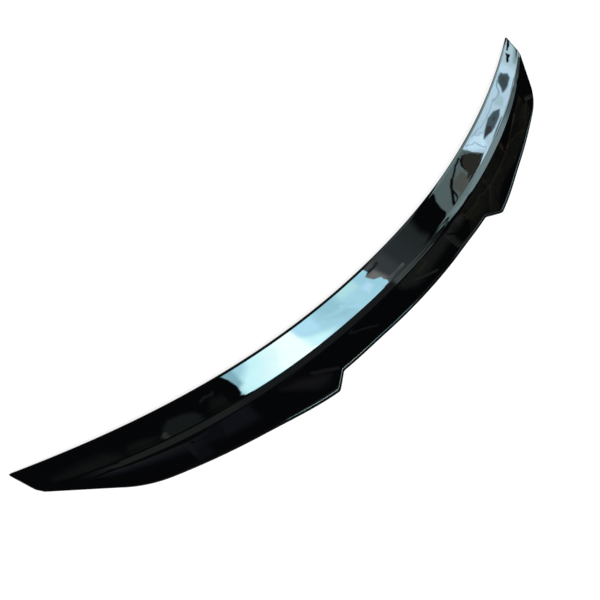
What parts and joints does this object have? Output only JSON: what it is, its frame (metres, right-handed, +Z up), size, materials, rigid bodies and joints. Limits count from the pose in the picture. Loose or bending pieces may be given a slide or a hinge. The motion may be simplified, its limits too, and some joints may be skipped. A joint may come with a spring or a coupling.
{
  "type": "car rear spoiler",
  "caption": "Long gloss-black boot-lid lip spoiler: bowed crescent shell with a crease, a kicked-up blunt trailing lip cut back at mid span, and foam tape underneath.",
  "frame": {"origin": "centre of the part's box on its underside, the plane that the rear tape's face lies in", "axes": "+X along the span, +Y to the front of the car, where the two tips point, +Z up, out of the boot lid"},
  "size_m": [1.2478, 0.2302, 0.0394],
  "materials": {
    "gloss_black_shell": "moulded ABS in deep gloss black",
    "foam_tape": "dull dark grey closed-cell foam tape"
  },
  "bodies": {
    "root": {"spoiler_shell": "gloss_black_shell", "front_tape_left": "foam_tape", "front_tape_middle": "foam_tape", "front_tape_right": "foam_tape", "rear_tape_left": "foam_tape", "rear_tape_middle": "foam_tape", "rear_tape_right": "foam_tape"}
  },
  "joints": []
}
